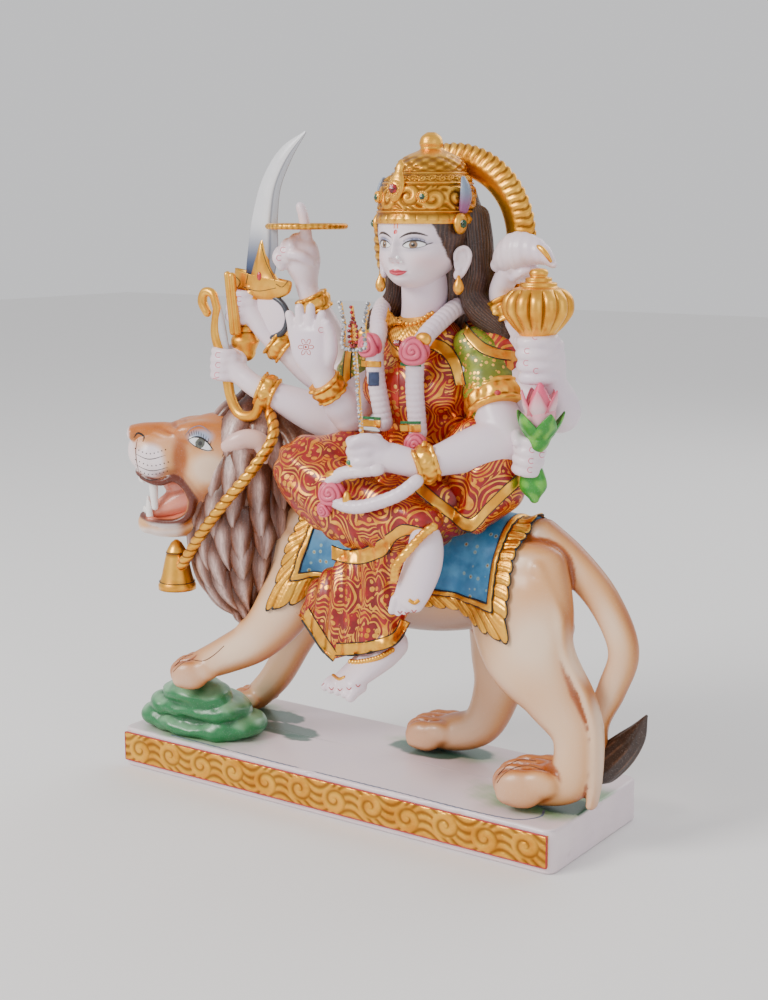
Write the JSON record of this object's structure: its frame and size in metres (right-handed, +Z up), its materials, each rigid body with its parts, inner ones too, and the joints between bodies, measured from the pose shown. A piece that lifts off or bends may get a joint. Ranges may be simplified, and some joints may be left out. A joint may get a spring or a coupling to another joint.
{
  "type": "durga figure",
  "caption": "Painted and gilded marble temple figure of an eight-armed goddess seated side-saddle on a walking lion, carved in one block with an oblong plinth.",
  "frame": {"origin": "middle of the plinth's underside", "axes": "+Z up; +X along the plinth towards the lion's tail; the goddess faces -Y, and the lion's head is at -X"},
  "size_m": [0.4714, 0.1838, 0.5491],
  "materials": {
    "painted_marble": "polished white marble, painted and gold-leafed by hand",
    "gilt_metal": "gilt, set with small clear and red stones",
    "red_glass": "cut glass stone",
    "green_glass": "cut glass stone",
    "clear_glass": "round bead"
  },
  "bodies": {
    "root": {"marble_carving": "painted_marble", "trident": "gilt_metal", "crown_stone_front": "red_glass", "crown_stone_left": "green_glass", "crown_stone_right": "green_glass", "ear_stone_left": "green_glass", "ear_stone_right": "green_glass", "collar_stone": "red_glass", "nose_stud": "clear_glass"}
  },
  "joints": []
}
